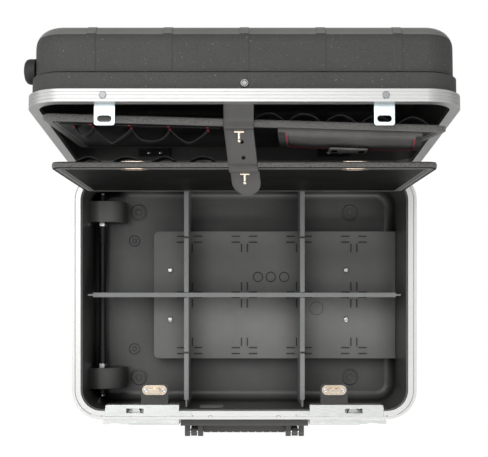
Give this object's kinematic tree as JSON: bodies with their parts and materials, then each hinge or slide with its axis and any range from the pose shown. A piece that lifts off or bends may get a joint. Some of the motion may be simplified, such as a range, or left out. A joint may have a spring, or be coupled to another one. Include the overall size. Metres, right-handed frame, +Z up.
{
  "type": "hard tool case",
  "caption": "Hinged hard case with aluminium rim frames, two flip-out tool pallets, slot-in dividers, slide locks, carry handle, wheels and pull handle",
  "frame": {"origin": "middle of the base, on the plane of the foot bottoms", "axes": "+X to the pull handle's side, +Y to the lid hinge, +Z up"},
  "size_m": [0.5149, 0.5101, 0.5176],
  "materials": {
    "shell": "textured moulded plastic",
    "frame": "satin anodised extrusion",
    "rubber": "matt black rubber",
    "zinc": "bright zinc plate",
    "striker": "blue-white zinc plate",
    "steel": "bright steel",
    "tube": "drawn aluminium",
    "inner_plastic": "fine textured plastic",
    "button": "moulded plastic",
    "divider": "grey plastic sheet with moulded top bar",
    "handle": "grained plastic",
    "bracket": "dark grey coat",
    "nickel": "pale nickel over brass",
    "hub": "moulded plastic",
    "tyre": "matt black tyre",
    "rivet": "grey steel",
    "strap": "smooth dark band",
    "board": "dark grained covering with grey edge binding",
    "elastic": "black elastic"
  },
  "bodies": {
    "base": {"base_shell": "shell", "base_frame": "frame", "base_feet": "rubber", "hinge_base_leaves": "steel", "hinge_pins": "steel", "wheel_axle": "steel", "axle_spacers": "inner_plastic", "axle_nuts": "steel", "trolley_cover": "inner_plastic", "base_screws": "steel", "trolley_outer_tubes": "tube", "trolley_bezel": "inner_plastic", "long_divider": "divider", "left_cross_divider": "divider", "right_cross_divider": "divider", "lock_housings": "zinc", "lock_covers": "zinc", "left_lock_spring": "steel", "right_lock_spring": "steel", "carry_handle_base": "handle", "carry_handle_pins": "steel", "turnlock_brackets": "bracket", "turnlock_plates": "nickel", "lower_pallet_brackets": "bracket", "lower_pallet_pins": "steel"},
    "front_wheel": {"front_wheel_hub": "hub", "front_wheel_tyre": "tyre"},
    "rear_wheel": {"rear_wheel_hub": "hub", "rear_wheel_tyre": "tyre"},
    "trolley_middle": {"trolley_middle_tubes": "tube"},
    "trolley_inner": {"trolley_inner_tubes": "tube", "trolley_grip": "inner_plastic", "trolley_button_spring": "steel"},
    "trolley_button": {"trolley_button": "button"},
    "left_lock_slider": {"left_lock_slider": "zinc"},
    "right_lock_slider": {"right_lock_slider": "zinc"},
    "left_lock_bolt": {"left_lock_bolt": "zinc"},
    "right_lock_bolt": {"right_lock_bolt": "zinc"},
    "carry_handle": {"carry_handle_grip": "handle"},
    "left_knob": {"left_turn_knob": "nickel"},
    "right_knob": {"right_turn_knob": "nickel"},
    "lid": {"lid_shell": "shell", "lid_frame": "frame", "hinge_lid_leaves": "steel", "lid_strikers": "striker", "lid_rivets": "rivet", "lid_stand_feet": "rubber", "retaining_strap": "strap", "upper_pallet_brackets": "bracket", "upper_pallet_pins": "steel"},
    "upper_pallet": {"upper_pallet_board": "board", "upper_pallet_hinges": "bracket", "upper_tool_loops": "elastic", "document_pouch": "board", "upper_pallet_stud": "nickel"},
    "lower_pallet": {"lower_pallet_board": "board", "lower_pallet_hinges": "bracket", "lower_pallet_eyelets": "nickel", "lower_tool_loops": "elastic", "lower_pallet_stud": "nickel"}
  },
  "joints": [
    {"name": "lid_hinge", "type": "hinge", "parent": "base", "child": "lid", "pos_m": [0, 0.181, 0.1602], "axis": [1, 0, 0], "range_deg": [0, 95.1], "deforming": ["retaining_strap"]},
    {"name": "lower_pallet_fold", "type": "hinge", "parent": "base", "child": "lower_pallet", "pos_m": [0, 0.151, 0.152], "axis": [1, 0, 0], "range_deg": [0, 90], "deforming": ["retaining_strap"]},
    {"name": "upper_pallet_fold", "type": "hinge", "parent": "lid", "child": "upper_pallet", "pos_m": [0, 0.20923, 0.18178], "axis": [1, 0, 0], "range_deg": [-7.8, 0], "deforming": ["retaining_strap"]},
    {"name": "front_wheel_spin", "type": "hinge", "parent": "base", "child": "front_wheel", "pos_m": [-0.2177, -0.1256, 0.035], "axis": [0, 1, 0], "continuous": true},
    {"name": "rear_wheel_spin", "type": "hinge", "parent": "base", "child": "rear_wheel", "pos_m": [-0.2177, 0.1256, 0.035], "axis": [0, 1, 0], "continuous": true},
    {"name": "trolley_middle_slide", "type": "slide", "parent": "base", "child": "trolley_middle", "axis": [1, 0, 0], "range_m": [0, 0.28]},
    {"name": "trolley_inner_slide", "type": "slide", "parent": "trolley_middle", "child": "trolley_inner", "axis": [1, 0, 0], "range_m": [0, 0.28]},
    {"name": "trolley_button_press", "type": "slide", "parent": "trolley_inner", "child": "trolley_button", "axis": [-1, 0, 0], "range_m": [0, 0.003], "stiffness_N_per_m": 800, "springref_m": -0.002, "deforming": ["trolley_button_spring"]},
    {"name": "left_lock_slide", "type": "slide", "parent": "base", "child": "left_lock_slider", "axis": [-1, 0, 0], "range_m": [0, 0.008], "stiffness_N_per_m": 300, "springref_m": -0.004, "deforming": ["left_lock_spring"]},
    {"name": "right_lock_slide", "type": "slide", "parent": "base", "child": "right_lock_slider", "axis": [1, 0, 0], "range_m": [0, 0.008], "stiffness_N_per_m": 300, "springref_m": -0.004, "deforming": ["right_lock_spring"]},
    {"name": "left_bolt_slide", "type": "slide", "parent": "base", "child": "left_lock_bolt", "axis": [0, -1, 0], "range_m": [0, 0.0035]},
    {"name": "right_bolt_slide", "type": "slide", "parent": "base", "child": "right_lock_bolt", "axis": [0, -1, 0], "range_m": [0, 0.0035]},
    {"name": "carry_handle_swing", "type": "hinge", "parent": "base", "child": "carry_handle", "pos_m": [0, -0.2, 0.106], "axis": [-1, 0, 0], "range_deg": [0, 100]},
    {"name": "left_knob_turn", "type": "hinge", "parent": "base", "child": "left_knob", "pos_m": [-0.129, -0.1367, 0.15], "axis": [0, 0, 1], "range_deg": [0, 90]},
    {"name": "right_knob_turn", "type": "hinge", "parent": "base", "child": "right_knob", "pos_m": [0.129, -0.1367, 0.15], "axis": [0, 0, 1], "range_deg": [0, 90]}
  ],
  "couplings": [
    {"joint": "lower_pallet_fold", "follows": "lid_hinge", "ratio": 0.94637},
    {"joint": "upper_pallet_fold", "follows": "lid_hinge", "ratio": -0.082018},
    {"joint": "left_bolt_slide", "follows": "left_lock_slide", "ratio": 0.4375},
    {"joint": "right_bolt_slide", "follows": "right_lock_slide", "ratio": 0.4375}
  ]
}
